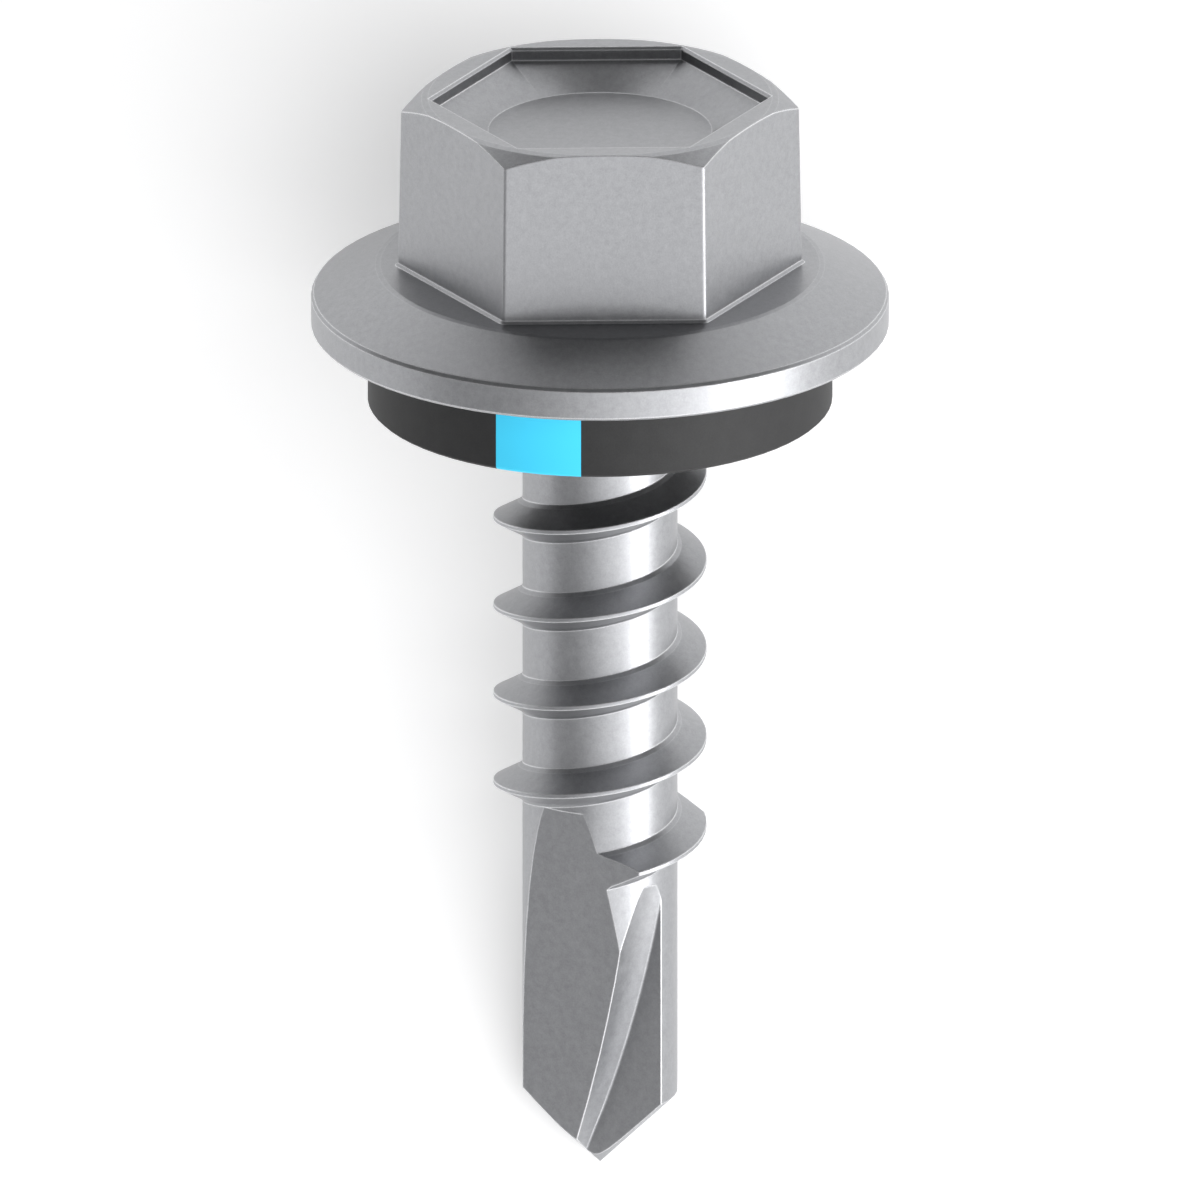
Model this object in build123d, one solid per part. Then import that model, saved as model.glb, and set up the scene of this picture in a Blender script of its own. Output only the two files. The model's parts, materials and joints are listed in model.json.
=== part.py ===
from build123d import *
from math import atan2, ceil, cos, degrees, radians, sin, sqrt, tan
import os

# Self drilling screw with a hexagon flange head and a captive rubber sealing washer.
# Millimetres. The screw is drawn standing on its axis: z is 0 at the flange's underside,
# the head is above and the drill point below. It is laid on its side at the end.

# Hexagon of the head
hex_across_flats = 7.94
hex_height = 4.0  # above the flange
hex_draft = 0.9  # degrees, narrower towards the top
hex_corner_round = 0.10
top_circle_diameter = 7.95  # where the chamfer meets the top face
top_chamfer_angle = 30  # degrees from the top face
top_edge_bevel = 0.08
hex_foot_bevel = 0.06  # where the hexagon meets the flange

# Shallow recess in the top of the head
recess_across_flats = 6.63
recess_wall = 0.30  # height of its upright wall
recess_depth = 0.80
recess_floor_diameter = 5.07
recess_lip_bevel = 0.06

# Flange, forged in one with the head
flange_diameter = 13.08
flange_thickness = 1.45
flange_rim_height = 0.75
flange_ring_width = 0.45  # the level ring round the hexagon, at its corners
flange_edge_bevel = 0.06
neck_bevel = 0.20  # under the flange, round the shank

# Shank and drill point
screw_length = 20.14  # under the flange
core_diameter = 3.51
point_angle = 90  # degrees, across the whole tip

# Thread, one start, right-hand
thread_diameter = 4.83
thread_pitch = 25.4 / 12  # twelve turns to the inch
thread_flank_angle = 30  # degrees, each side
thread_crest_width = 0.09
thread_root_bevel = 0.09  # up the flank, where it meets the core
thread_below_seal = 0.34  # from the seal to where the thread dies out
thread_above_tip = 7.41  # from the last of the thread to the tip
thread_run_out = 0.5  # turns over which the upper end dies out
sections_per_turn = 12

# Drill point, the same on both sides
flat_length = 8.96  # from the tip up to the start of the broad flat
flat_bite = 0.075  # how deep the broad flat starts in the core
flat_slope = 7.24  # degrees, in towards the tip
web_thickness = 0.53  # left between the two flutes
flute_length = 7.06  # from the tip
flute_wall_at_tip = 0.34  # foot of the flute's wall, past the middle of the flat
flute_wall_at_top = 1.80  # the same foot, short of the middle
flute_wall_bow = 0.22  # how far the foot bows out into the flute
flute_wall_hollow = 1.60  # radius of the wall, seen along the flute
flute_wall_height = 0.90  # above the floor, where the wall has turned upright
flute_corner_round = 0.05  # between the flute's floor and its wall
flute_cutter_reach = 1.5  # times the flute's length, so that it runs out past the tip

# Turns about the axis, in degrees from +X, seen from above the head
hex_turn = 1.4
thread_turn = 240  # where the thread dies out
point_turn = -29.3
seam_turn = 1.25  # where the flange's round faces close on themselves

# Rubber seal under the flange
seal_diameter = 10.52
seal_thickness = 1.81
seal_edge_bevel = 0.06
seal_clearance = 0.05  # round the shank

# How it lies: rolled this far past the broad flat, so that two edges of the point touch the table
rest_roll = 19.85  # degrees

core_radius = core_diameter / 2
thread_radius = thread_diameter / 2
flange_radius = flange_diameter / 2
flange_ring_radius = hex_across_flats / 2 / cos(radians(30)) + flange_ring_width
head_top = flange_thickness + hex_height
beyond = flange_diameter  # far enough outside the screw for any cutter


# The corner of a flat face that lies nearest to a point
def corner(face, x, y):
    return face.vertices().sort_by_distance((x, y, 0))[0]


# A closed flat outline, drawn as radius and height, turned once about the axis
def turned(face):
    return revolve(Plane.XZ * face, Axis.Z)


# Flange, shank and the cone of the tip, before thread and flutes
def blank():
    shoulder = core_radius / tan(radians(point_angle / 2)) - screw_length
    face = make_face(
        Polyline(
            (0, -screw_length),
            (core_radius, shoulder),
            (core_radius, 0),
            (flange_radius, 0),
            (flange_radius, flange_rim_height),
            (flange_ring_radius, flange_thickness),
            (0, flange_thickness),
            close=True,
        )
    )
    face = chamfer(corner(face, core_radius, 0), neck_bevel)
    rims = [(flange_radius, 0), (flange_radius, flange_rim_height), (flange_ring_radius, flange_thickness)]
    for x, y in rims:
        face = chamfer(corner(face, x, y), flange_edge_bevel)
    return Rot(0, 0, seam_turn) * turned(face)


# Hexagon face at a height
def hexagon(across_flats, height):
    shape = RegularPolygon(across_flats / 2, 6, major_radius=False)
    return Pos(0, 0, height) * Rot(0, 0, hex_turn) * shape


# Circle face made of six arcs that start at the hexagon's corners
def six_arcs(radius, height):
    arcs = [CenterArc((0, 0), radius, 60 * i, 60) for i in range(6)]
    return Pos(0, 0, height) * Rot(0, 0, hex_turn) * make_face(arcs)


# Hexagon prism with draft, its top corners cut back by a cone
def hex_prism():
    prism = extrude(hexagon(hex_across_flats, flange_thickness), hex_height, taper=hex_draft)
    prism = fillet(prism.edges().filter_by(Plane.XY, reverse=True), hex_corner_round)
    top_radius = top_circle_diameter / 2
    reach = hex_across_flats
    drop = (reach - top_radius) * tan(radians(top_chamfer_angle))
    face = make_face(
        Polyline(
            (0, 0),
            (reach, 0),
            (reach, head_top - drop),
            (top_radius, head_top),
            (0, head_top),
            close=True,
        )
    )
    face = chamfer(corner(face, top_radius, head_top), top_edge_bevel)
    return prism & turned(face)


# Recess: a bevelled lip, an upright hexagon wall, then a slope that runs out into a round floor
def recess():
    wall_top = head_top - recess_lip_bevel
    wall_foot = head_top - recess_wall
    rim = hexagon(recess_across_flats, 0)
    lip = hexagon(recess_across_flats + 2 * recess_lip_bevel, head_top)
    floor = six_arcs(recess_floor_diameter / 2, head_top - recess_depth)
    cutter = loft([floor, Pos(0, 0, wall_foot) * rim], ruled=True)
    cutter += extrude(Pos(0, 0, wall_foot) * rim, wall_top - wall_foot)
    return cutter + loft([Pos(0, 0, wall_top) * rim, lip], ruled=True)


# Edges of a shape that lie at one height and within a radius of the axis
def edges_at(shape, height, radius):
    level = shape.edges().filter_by_position(Axis.Z, height, height)
    return level.filter_by(lambda e: Vector(e.center().X, e.center().Y, 0).length < radius)


# Outline of the ridge, drawn as radius and height and sunk by a given depth
def ridge_outline(sunk):
    slope = tan(radians(thread_flank_angle))
    half_crest = thread_crest_width / 2
    bevel_r = core_radius + thread_root_bevel
    bevel_z = half_crest + (thread_radius - bevel_r) * slope
    foot_r = core_radius - thread_root_bevel
    foot_z = bevel_z + (bevel_r - foot_r)
    upper = [(thread_radius, half_crest), (bevel_r, bevel_z), (foot_r, foot_z)]
    lower = [(x, -y) for x, y in reversed(upper)]
    return Pos(-sunk, 0, 0) * make_face(Polyline(*upper, *lower, close=True))


# The thread's ridge, lofted through upright sections that step down a helix
def thread():
    start = -(seal_thickness + thread_below_seal)
    turns = (screw_length - thread_above_tip + start) / thread_pitch
    count = ceil(turns * sections_per_turn)
    height = thread_radius - core_radius
    sections = []
    for i in range(count + 1):
        turn = turns * i / count
        angle = radians(thread_turn - 360 * turn)
        fade = max(0, 1 - turn / thread_run_out)
        sunk = 1.1 * height * fade**2
        outward = (cos(angle), sin(angle), 0)
        along = (sin(angle), -cos(angle), 0)
        place = Plane((0, 0, start - turn * thread_pitch), x_dir=outward, z_dir=along)
        sections.append(place * ridge_outline(sunk))
    return loft(sections)


# Cutter of one broad flat, a wedge that leans in towards the tip
def broad_flat():
    top = flat_length - screw_length
    bottom = -screw_length - core_radius
    start = core_radius - flat_bite
    end = start - (top - bottom) * tan(radians(flat_slope))
    side = Plane((0, 0, 0), x_dir=(0, -1, 0), z_dir=(-1, 0, 0))
    face = make_face(Polyline((start, top), (end, bottom), (beyond, bottom), (beyond, top), close=True))
    return extrude(side * face, beyond, both=True)


# Outline of a flute seen along it: a flat floor beside the web and a hollow wall
def flute_outline(wall_foot):
    floor = -web_thickness / 2
    upright = floor - flute_wall_height
    lean = flute_wall_hollow - sqrt(flute_wall_hollow**2 - flute_wall_height**2)
    wall_top = wall_foot - lean
    reach = wall_foot + beyond
    hollow = RadiusArc((wall_foot, floor), (wall_top, upright), -flute_wall_hollow)
    away = [(wall_top, -beyond), (reach, -beyond), (reach, floor)]
    rest = Polyline((wall_top, upright), *away, (wall_foot, floor))
    face = make_face([hollow, rest])
    return fillet(corner(face, wall_foot, floor), flute_corner_round)


# Cutter of one flute, its outline swung along a long arc from the top past the tip
def flute():
    tip = (-flute_wall_at_tip, -screw_length)
    top = (flute_wall_at_top, flute_length - screw_length)
    path = Plane.XZ * SagittaArc(tip, top, -flute_wall_bow)
    middle = path.arc_center
    place = Plane(middle, x_dir=path @ 1 - middle, z_dir=path % 1)
    swing = flute_cutter_reach * degrees(path.length / path.radius)
    return revolve(place * flute_outline(path.radius), Axis(middle, (0, 1, 0)), swing)


# The screw, one forged piece
def screw():
    body = blank() + hex_prism()
    foot = edges_at(body, flange_thickness, flange_ring_radius - hex_foot_bevel)
    body = chamfer(foot, hex_foot_bevel)
    body -= recess()
    body += thread()
    for side in (0, 180):
        turned_to = Rot(0, 0, point_turn + side)
        body -= turned_to * broad_flat()
        body -= turned_to * flute()
    return body


# Rubber washer, pushed over the shank against the flange
def seal_washer():
    hole = core_radius + seal_clearance
    outside = seal_diameter / 2
    face = make_face(
        Polyline(
            (hole, -seal_thickness),
            (outside, -seal_thickness),
            (outside, 0),
            (hole, 0),
            close=True,
        )
    )
    for height in (0, -seal_thickness):
        face = chamfer(corner(face, outside, height), seal_edge_bevel)
    face = chamfer(corner(face, hole, 0), neck_bevel)
    return turned(face)


# Points along the edges of the drill point, for finding where it touches the table
def point_of_contact(body):
    tip_edges = body.edges().filter_by(lambda e: e.center().Z < flute_length - screw_length)
    return [edge @ (i / 20) for edge in tip_edges for i in range(21)]


# Turn that lays the screw on its flange rim and its point, head at -X and tip at +X
def laying_turn(body):
    roll = Rot(0, 0, 90 - point_turn - rest_roll)
    rims = [(flange_radius - flange_edge_bevel, 0), (flange_radius, flange_edge_bevel)]
    tilts = []
    for p in point_of_contact(body):
        below = -(roll * Pos(p)).position.X
        tilts.append(max(atan2(radius - below, height - p.Z) for radius, height in rims))
    return Rot(0, -90 + degrees(min(tilts)), 0) * roll


os.makedirs("parts", exist_ok=True)
standing = screw()
turn = laying_turn(standing)
pieces = {"screw": turn * standing, "seal_washer": turn * seal_washer()}
box = pieces["screw"].bounding_box().add(pieces["seal_washer"].bounding_box())
home = Pos(-box.center().X, -box.center().Y, -box.min.Z)
for name, piece in pieces.items():
    export_step(home * piece, f"parts/{name}.step")
    print(name, (home * piece).bounding_box().size)
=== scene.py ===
import json
from math import cos, radians, sin

import bpy
from mathutils import Matrix, Vector

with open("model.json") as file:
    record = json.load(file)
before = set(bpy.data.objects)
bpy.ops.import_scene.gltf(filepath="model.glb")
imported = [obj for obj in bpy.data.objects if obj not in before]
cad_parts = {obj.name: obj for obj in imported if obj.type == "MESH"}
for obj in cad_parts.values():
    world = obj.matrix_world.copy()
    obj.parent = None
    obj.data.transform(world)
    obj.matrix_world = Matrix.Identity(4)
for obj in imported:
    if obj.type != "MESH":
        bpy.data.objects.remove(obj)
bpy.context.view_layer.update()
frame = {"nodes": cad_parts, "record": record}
print("frame loaded:", ", ".join(sorted(frame["nodes"])))

mm = 0.001


# The screw's own axes: origin on the shank at the flange's underside, z towards the head
def screwAxes(sealThickness):
    mounts = {m["name"]: m for m in frame["record"]["mounts"]}
    shank = Vector(mounts["threaded_shank"]["pos_m"])
    down = Vector(mounts["threaded_shank"]["axis"]).normalized()
    face = Vector(mounts["seal_face"]["pos_m"])
    foot = shank + down * (face - shank).dot(down)
    side = (face - foot).normalized()
    start = foot - down * sealThickness
    axes = Matrix((side, (-down).cross(side), -down)).transposed()
    return Matrix.Translation(start) @ axes.to_4x4()


# A new node, with its inputs and its own settings given by name
def addNode(tree, kind, **settings):
    node = tree.nodes.new(kind)
    for name, value in settings.items():
        if name in node.inputs:
            node.inputs[name].default_value = value
        else:
            setattr(node, name, value)
    return node


def link(tree, source, target):
    tree.links.new(source, target)


# A new shader group with named sockets, and its two end nodes
def addGroup(name, inputs, outputs):
    group = bpy.data.node_groups.new(name, "ShaderNodeTree")
    for label, kind, value in inputs:
        socket = group.interface.new_socket(label, in_out="INPUT", socket_type=kind)
        if value is not None:
            socket.default_value = value
    for label, kind in outputs:
        group.interface.new_socket(label, in_out="OUTPUT", socket_type=kind)
    return group, group.nodes.new("NodeGroupInput"), group.nodes.new("NodeGroupOutput")


# A group placed in a material, with the material's own values
def useGroup(tree, group, **values):
    node = tree.nodes.new("ShaderNodeGroup")
    node.node_tree = group
    for label, value in values.items():
        node.inputs[label].default_value = value
    return node


# Cloudy patches with fine grain on top, from 0 to 1
grainLook = {
    "patchDetail": 3.0,
    "patchRoughness": 0.6,
    "grainDetail": 2.0,
    "grainRoughness": 0.7,
    "contrast": (0.34, 0.66),  # noise that counts as 0 and as 1
}


def makeGrainGroup():
    group, given, out = addGroup(
        "surfaceGrain",
        [("vector", "NodeSocketVector", None), ("patchScale", "NodeSocketFloat", 4000.0),
         ("grainScale", "NodeSocketFloat", 20000.0), ("grainShare", "NodeSocketFloat", 0.5)],
        [("patches", "NodeSocketFloat"), ("grain", "NodeSocketFloat"), ("both", "NodeSocketFloat")],
    )
    patches = addNode(group, "ShaderNodeTexNoise")
    patches.inputs["Detail"].default_value = grainLook["patchDetail"]
    patches.inputs["Roughness"].default_value = grainLook["patchRoughness"]
    grain = addNode(group, "ShaderNodeTexNoise")
    grain.inputs["Detail"].default_value = grainLook["grainDetail"]
    grain.inputs["Roughness"].default_value = grainLook["grainRoughness"]
    mixed = addNode(group, "ShaderNodeMix", data_type="FLOAT")
    both = addNode(group, "ShaderNodeMapRange")
    both.inputs["From Min"].default_value, both.inputs["From Max"].default_value = grainLook["contrast"]
    link(group, given.outputs["vector"], patches.inputs["Vector"])
    link(group, given.outputs["vector"], grain.inputs["Vector"])
    link(group, given.outputs["patchScale"], patches.inputs["Scale"])
    link(group, given.outputs["grainScale"], grain.inputs["Scale"])
    link(group, given.outputs["grainShare"], mixed.inputs["Factor"])
    link(group, patches.outputs["Fac"], mixed.inputs["A"])
    link(group, grain.outputs["Fac"], mixed.inputs["B"])
    link(group, mixed.outputs["Result"], both.inputs["Value"])
    link(group, patches.outputs["Fac"], out.inputs["patches"])
    link(group, grain.outputs["Fac"], out.inputs["grain"])
    link(group, both.outputs["Result"], out.inputs["both"])
    return group


# Mask that is 1 between two turns about z and beyond a radius, and 0 elsewhere
def makeSectorGroup():
    group, given, out = addGroup(
        "turnedSector",
        [("vector", "NodeSocketVector", None), ("from", "NodeSocketFloat", 0.0),
         ("to", "NodeSocketFloat", 1.0), ("beyond", "NodeSocketFloat", 0.0)],
        [("mask", "NodeSocketFloat")],
    )
    parts = addNode(group, "ShaderNodeSeparateXYZ")
    flat = addNode(group, "ShaderNodeCombineXYZ")
    radius = addNode(group, "ShaderNodeVectorMath", operation="LENGTH")
    turn = addNode(group, "ShaderNodeMath", operation="ARCTAN2")
    after = addNode(group, "ShaderNodeMath", operation="GREATER_THAN")
    before = addNode(group, "ShaderNodeMath", operation="LESS_THAN")
    outside = addNode(group, "ShaderNodeMath", operation="GREATER_THAN")
    between = addNode(group, "ShaderNodeMath", operation="MULTIPLY")
    mask = addNode(group, "ShaderNodeMath", operation="MULTIPLY")
    link(group, given.outputs["vector"], parts.inputs["Vector"])
    link(group, parts.outputs["Y"], turn.inputs[0])
    link(group, parts.outputs["X"], turn.inputs[1])
    link(group, parts.outputs["X"], flat.inputs["X"])
    link(group, parts.outputs["Y"], flat.inputs["Y"])
    link(group, flat.outputs["Vector"], radius.inputs[0])
    link(group, turn.outputs["Value"], after.inputs[0])
    link(group, given.outputs["from"], after.inputs[1])
    link(group, turn.outputs["Value"], before.inputs[0])
    link(group, given.outputs["to"], before.inputs[1])
    link(group, radius.outputs["Value"], outside.inputs[0])
    link(group, given.outputs["beyond"], outside.inputs[1])
    link(group, after.outputs["Value"], between.inputs[0])
    link(group, before.outputs["Value"], between.inputs[1])
    link(group, between.outputs["Value"], mask.inputs[0])
    link(group, outside.outputs["Value"], mask.inputs[1])
    link(group, mask.outputs["Value"], out.inputs["mask"])
    return group


# A new material, its node tree and its main shader
def newMaterial(name):
    material = bpy.data.materials.new(name)
    material.use_nodes = True
    tree = material.node_tree
    return material, tree, tree.nodes["Principled BSDF"]


# Satin zinc coat on steel
steelLook = {
    "low": (0.33, 0.334, 0.346, 1.0),  # darkest patches
    "high": (0.42, 0.424, 0.438, 1.0),  # lightest patches
    "edge": (0.92, 0.925, 0.94, 1.0),  # painted highlight: edges lighter in colour, for the light that rounded edges catch
    "roughness": (0.34, 0.46),
    "metallic": 1.0,
    "patchScale": 6000.0,
    "grainScale": 26000.0,
    "bump": 0.22,
    "bumpDepth": 0.01 * mm,
    "edgeRadius": 0.05 * mm,
    "edgeSamples": 6,
    "edgeSharpness": 14.0,  # how soon a rounded edge gets the full painted highlight
}


# Rounded normals at the edges, and a mask that is 1 on an edge and 0 away from it
def makeEdgeGroup():
    group, given, out = addGroup(
        "softEdges",
        [("sharpness", "NodeSocketFloat", 8.0)],
        [("normal", "NodeSocketVector"), ("mask", "NodeSocketFloat")],
    )
    bevel = addNode(group, "ShaderNodeBevel", samples=steelLook["edgeSamples"])
    bevel.inputs["Radius"].default_value = steelLook["edgeRadius"]
    flat = addNode(group, "ShaderNodeNewGeometry")
    alike = addNode(group, "ShaderNodeVectorMath", operation="DOT_PRODUCT")
    apart = addNode(group, "ShaderNodeMath", operation="SUBTRACT", use_clamp=True)
    mask = addNode(group, "ShaderNodeMath", operation="MULTIPLY", use_clamp=True)
    apart.inputs[0].default_value = 1.0
    link(group, bevel.outputs["Normal"], alike.inputs[0])
    link(group, flat.outputs["Normal"], alike.inputs[1])
    link(group, alike.outputs["Value"], apart.inputs[1])
    link(group, apart.outputs["Value"], mask.inputs[0])
    link(group, given.outputs["sharpness"], mask.inputs[1])
    link(group, bevel.outputs["Normal"], out.inputs["normal"])
    link(group, mask.outputs["Value"], out.inputs["mask"])
    return group


def steelMaterial(grainGroup, edgeGroup):
    material, tree, shader = newMaterial("coatedSteel")
    place = addNode(tree, "ShaderNodeTexCoord")
    scales = {name: steelLook[name] for name in ("patchScale", "grainScale")}
    grain = useGroup(tree, grainGroup, **scales)
    edges = useGroup(tree, edgeGroup, sharpness=steelLook["edgeSharpness"])
    tint = addNode(tree, "ShaderNodeMix", data_type="RGBA")
    tint.inputs["A"].default_value = steelLook["low"]
    tint.inputs["B"].default_value = steelLook["high"]
    # Painted highlight: the base colour turns near white on every edge the bevel finds, for the glint of
    # rounded edges
    paintedEdgeHighlight = addNode(tree, "ShaderNodeMix", data_type="RGBA")
    paintedEdgeHighlight.inputs["B"].default_value = steelLook["edge"]
    rough = addNode(tree, "ShaderNodeMapRange")
    rough.inputs["To Min"].default_value, rough.inputs["To Max"].default_value = steelLook["roughness"]
    bump = addNode(tree, "ShaderNodeBump", Strength=steelLook["bump"], Distance=steelLook["bumpDepth"])
    link(tree, place.outputs["Object"], grain.inputs["vector"])
    link(tree, grain.outputs["both"], tint.inputs["Factor"])
    link(tree, tint.outputs["Result"], paintedEdgeHighlight.inputs["A"])
    link(tree, edges.outputs["mask"], paintedEdgeHighlight.inputs["Factor"])
    link(tree, grain.outputs["patches"], rough.inputs["Value"])
    link(tree, grain.outputs["grain"], bump.inputs["Height"])
    link(tree, edges.outputs["normal"], bump.inputs["Normal"])
    link(tree, paintedEdgeHighlight.outputs["Result"], shader.inputs["Base Color"])
    link(tree, rough.outputs["Result"], shader.inputs["Roughness"])
    link(tree, bump.outputs["Normal"], shader.inputs["Normal"])
    shader.inputs["Metallic"].default_value = steelLook["metallic"]
    return material


# Matt black rubber with a sky blue batch mark on its edge
rubberLook = {
    "low": (0.013, 0.013, 0.0135, 1.0),
    "high": (0.020, 0.020, 0.0205, 1.0),
    "mark": (0.051, 0.672, 1.0, 1.0),
    "markTurns": (-116.6, -94.7),  # degrees about the screw's axis
    "markBeyond": 5.17 * mm,  # the paint is on the edge alone
    "thickness": 1.81 * mm,
    "roughness": 0.62,
    "patchScale": 2500.0,
    "grainScale": 24000.0,
    "bump": 0.2,
    "bumpDepth": 0.01 * mm,
}


def rubberMaterial(grainGroup, sectorGroup, axes):
    material, tree, shader = newMaterial("sealRubber")
    place = addNode(tree, "ShaderNodeTexCoord")
    local = addNode(tree, "ShaderNodeMapping", vector_type="TEXTURE")
    local.inputs["Location"].default_value = axes.to_translation()
    local.inputs["Rotation"].default_value = axes.to_euler("XYZ")
    sector = useGroup(tree, sectorGroup, beyond=rubberLook["markBeyond"])
    markFrom, markTo = rubberLook["markTurns"]
    sector.inputs["from"].default_value = radians(markFrom)
    sector.inputs["to"].default_value = radians(markTo)
    painted = addNode(tree, "ShaderNodeMix", data_type="RGBA")
    painted.inputs["B"].default_value = rubberLook["mark"]
    scales = {name: rubberLook[name] for name in ("patchScale", "grainScale")}
    grain = useGroup(tree, grainGroup, **scales)
    tint = addNode(tree, "ShaderNodeMix", data_type="RGBA")
    tint.inputs["A"].default_value = rubberLook["low"]
    tint.inputs["B"].default_value = rubberLook["high"]
    bump = addNode(tree, "ShaderNodeBump", Strength=rubberLook["bump"], Distance=rubberLook["bumpDepth"])
    link(tree, place.outputs["Object"], grain.inputs["vector"])
    link(tree, grain.outputs["both"], tint.inputs["Factor"])
    link(tree, place.outputs["Object"], local.inputs["Vector"])
    link(tree, local.outputs["Vector"], sector.inputs["vector"])
    link(tree, tint.outputs["Result"], painted.inputs["A"])
    link(tree, sector.outputs["mask"], painted.inputs["Factor"])
    link(tree, painted.outputs["Result"], shader.inputs["Base Color"])
    link(tree, grain.outputs["grain"], bump.inputs["Height"])
    link(tree, bump.outputs["Normal"], shader.inputs["Normal"])
    shader.inputs["Roughness"].default_value = rubberLook["roughness"]
    return material


# White floor that keeps the shadow
floorLook = {
    "radius": 0.6,
    "sides": 96,
    "colour": (0.86, 0.86, 0.86, 1.0),
    "glow": 0.36,  # as the camera and mirror-like surfaces see it, so that it turns out white
    "glowColour": (1.0, 1.0, 1.0, 1.0),
    "roughness": 1.0,
    "shine": 0.0,
}


def makeFloor():
    sides, radius = floorLook["sides"], floorLook["radius"]
    bpy.ops.mesh.primitive_circle_add(vertices=sides, radius=radius, fill_type="NGON")
    floor = bpy.context.object
    floor.name = "floor"
    material, tree, shader = newMaterial("floorWhite")
    path = addNode(tree, "ShaderNodeLightPath")
    direct = addNode(tree, "ShaderNodeMath", operation="ADD", use_clamp=True)
    seen = addNode(tree, "ShaderNodeMath", operation="ADD", use_clamp=True)
    glow = addNode(tree, "ShaderNodeMath", operation="MULTIPLY")
    glow.inputs[1].default_value = floorLook["glow"]
    link(tree, path.outputs["Is Camera Ray"], direct.inputs[0])
    link(tree, path.outputs["Is Glossy Ray"], direct.inputs[1])
    link(tree, direct.outputs["Value"], seen.inputs[0])
    link(tree, path.outputs["Is Transmission Ray"], seen.inputs[1])
    link(tree, seen.outputs["Value"], glow.inputs[0])
    link(tree, glow.outputs["Value"], shader.inputs["Emission Strength"])
    shader.inputs["Emission Color"].default_value = floorLook["glowColour"]
    shader.inputs["Base Color"].default_value = floorLook["colour"]
    shader.inputs["Roughness"].default_value = floorLook["roughness"]
    shader.inputs["Specular IOR Level"].default_value = floorLook["shine"]
    floor.data.materials.append(material)


# Studio light: a room that is dark above the head, light at the screw's right and has a narrow
# light at its left. Turns and heights are in degrees round the upright screw, 0 at its front.
lightLook = {
    "right": (2.1, 2.1, 2.11, 1.0),
    "left": (0.50, 0.50, 0.505, 1.0),
    "above": (0.17, 0.17, 0.172, 1.0),
    "strip": (1.3, 1.3, 1.31, 1.0),  # the narrow light
    "stripFrom": (-90, -18),  # its turn and height
    "rightSpan": (-0.6, 0.6),  # leans over which one colour turns into the next
    "aboveSpan": (-0.15, 0.30),
    "stripSpan": (0.93, 1.0),
    "box": (62, -10, 0.16, 0.16, 0.44),  # turn, height, width, length and power of a soft box
    "fill": (15, 15, 0.24, 0.24, 0.45),  # the same of a fill that adds no highlight
    "distance": 0.35,
    "aim": -6.6 * mm,  # along the screw's axis
}


# Direction from the screw, given by turn and height
def screwDirection(axes, turn, height):
    t, h = radians(turn), radians(height)
    return (axes.to_3x3() @ Vector((sin(t) * cos(h), -cos(t) * cos(h), sin(h)))).normalized()


# How far the looked-at direction leans towards an axis, spread to 0 and 1 over a span
def addLean(tree, coordinate, axis, span):
    lean = addNode(tree, "ShaderNodeVectorMath", operation="DOT_PRODUCT")
    lean.inputs[1].default_value = axis
    spread = addNode(tree, "ShaderNodeMapRange", interpolation_type="SMOOTHSTEP")
    spread.inputs["From Min"].default_value, spread.inputs["From Max"].default_value = span
    link(tree, coordinate.outputs["Generated"], lean.inputs[0])
    link(tree, lean.outputs["Value"], spread.inputs["Value"])
    return spread


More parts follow.
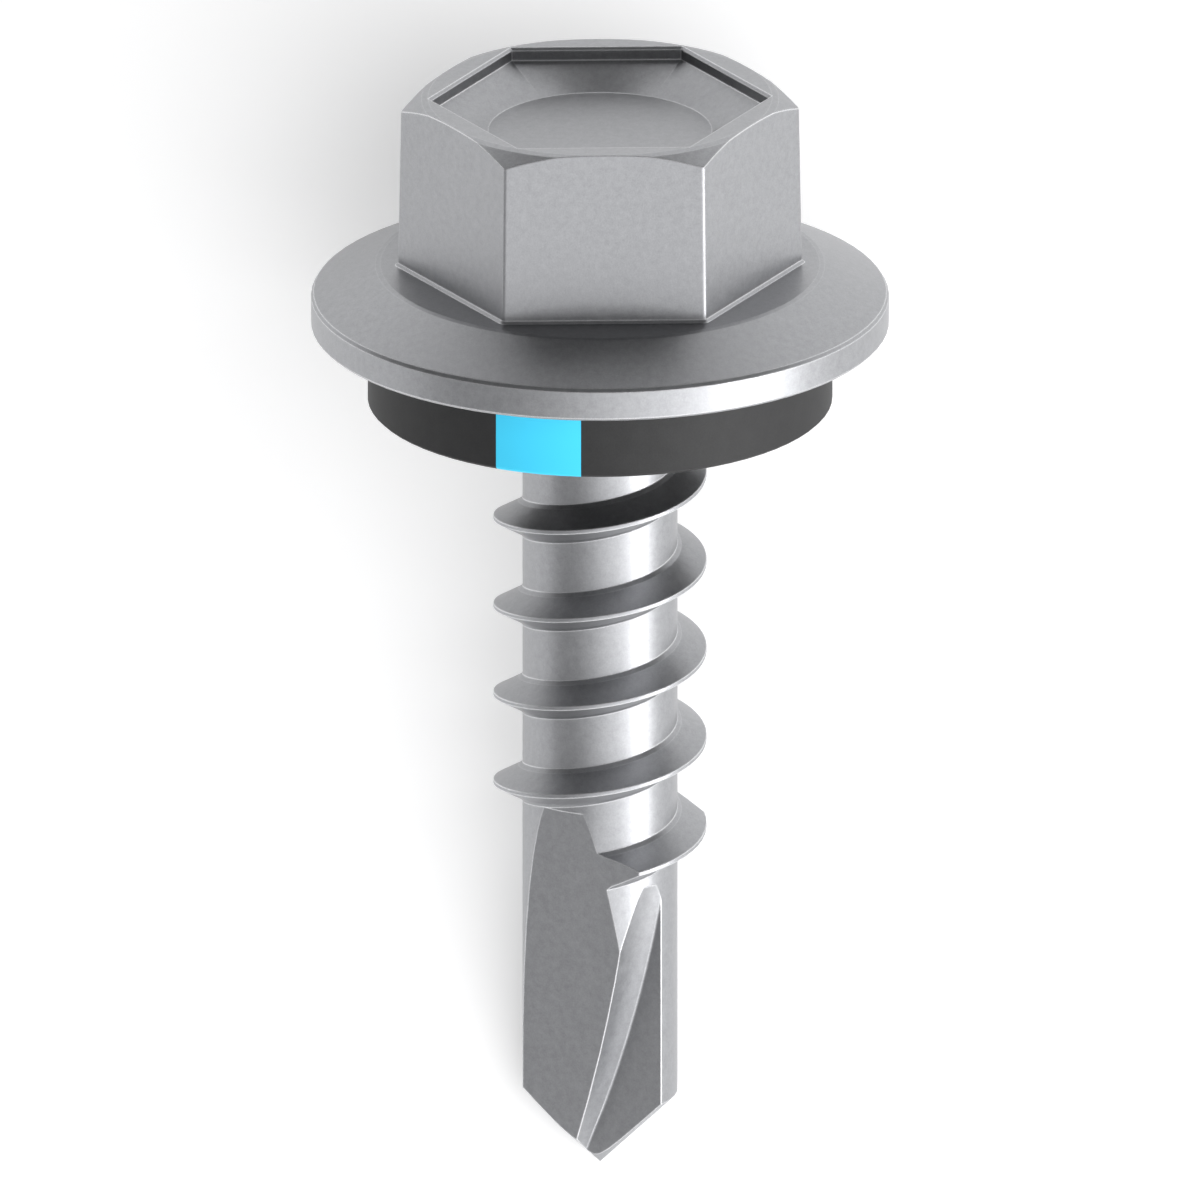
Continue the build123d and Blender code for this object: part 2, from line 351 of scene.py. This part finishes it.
def makeRoom(axes):
    world = bpy.data.worlds.new("room")
    bpy.context.scene.world = world
    world.use_nodes = True
    tree = world.node_tree
    place = addNode(tree, "ShaderNodeTexCoord")
    sideways = addLean(tree, place, axes.col[0].to_3d(), lightLook["rightSpan"])
    upwards = addLean(tree, place, axes.col[2].to_3d(), lightLook["aboveSpan"])
    beside = addLean(tree, place, screwDirection(axes, *lightLook["stripFrom"]), lightLook["stripSpan"])
    low = addNode(tree, "ShaderNodeMix", data_type="RGBA")
    low.inputs["A"].default_value = lightLook["left"]
    low.inputs["B"].default_value = lightLook["right"]
    whole = addNode(tree, "ShaderNodeMix", data_type="RGBA")
    whole.inputs["B"].default_value = lightLook["above"]
    lit = addNode(tree, "ShaderNodeMix", data_type="RGBA")
    lit.inputs["B"].default_value = lightLook["strip"]
    link(tree, sideways.outputs["Result"], low.inputs["Factor"])
    link(tree, low.outputs["Result"], whole.inputs["A"])
    link(tree, upwards.outputs["Result"], whole.inputs["Factor"])
    link(tree, whole.outputs["Result"], lit.inputs["A"])
    link(tree, beside.outputs["Result"], lit.inputs["Factor"])
    link(tree, lit.outputs["Result"], tree.nodes["Background"].inputs["Color"])


# An area lamp that looks at the screw
def makeLamp(name, axes):
    turn, height, width, length, power = lightLook[name]
    lamp = bpy.data.lights.new(name, "AREA")
    lamp.shape, lamp.size, lamp.size_y, lamp.energy = "RECTANGLE", width, length, power
    holder = bpy.data.objects.new(name, lamp)
    bpy.context.scene.collection.objects.link(holder)
    away = screwDirection(axes, turn, height)
    holder.location = axes @ Vector((0, 0, lightLook["aim"])) + away * lightLook["distance"]
    holder.rotation_mode = "QUATERNION"
    holder.rotation_quaternion = away.to_track_quat("Z", "Y")
    return holder


# Camera: parallel view, as the photograph looks at the screw
cameraLook = {
    "height": 19.8,  # degrees above level, seen from the upright screw
    "width": 27.15 * mm,
    "centre": -6.64 * mm,  # along the screw's axis
    "distance": 0.2,
    "clip": (0.01, 2.0),
}


def makeCamera(axes):
    lens = bpy.data.cameras.new("camera")
    lens.type = "ORTHO"
    lens.ortho_scale = cameraLook["width"]
    camera = bpy.data.objects.new("camera", lens)
    bpy.context.scene.collection.objects.link(camera)
    h = radians(cameraLook["height"])
    back = Vector((0, -cos(h), sin(h)))
    upright = Vector((0, sin(h), cos(h)))
    turn = Matrix((Vector((1, 0, 0)), upright, back)).transposed().to_4x4()
    spot = Vector((0, 0, cameraLook["centre"])) + back * cameraLook["distance"]
    camera.matrix_world = axes @ Matrix.Translation(spot) @ turn
    lens.clip_start, lens.clip_end = cameraLook["clip"]
    bpy.context.scene.camera = camera


def assign(node, material):
    piece = frame["nodes"][node]
    piece.data.materials.clear()
    piece.data.materials.append(material)


axes = screwAxes(rubberLook["thickness"])
grainGroup = makeGrainGroup()
assign("screw", steelMaterial(grainGroup, makeEdgeGroup()))
assign("seal_washer", rubberMaterial(grainGroup, makeSectorGroup(), axes))
print("materials made")

makeFloor()
print("floor made")

makeRoom(axes)
makeLamp("box", axes)
makeLamp("fill", axes).visible_glossy = False
print("lights made")

makeCamera(axes)
bpy.context.scene.view_settings.view_transform = "Standard"
print("camera made")
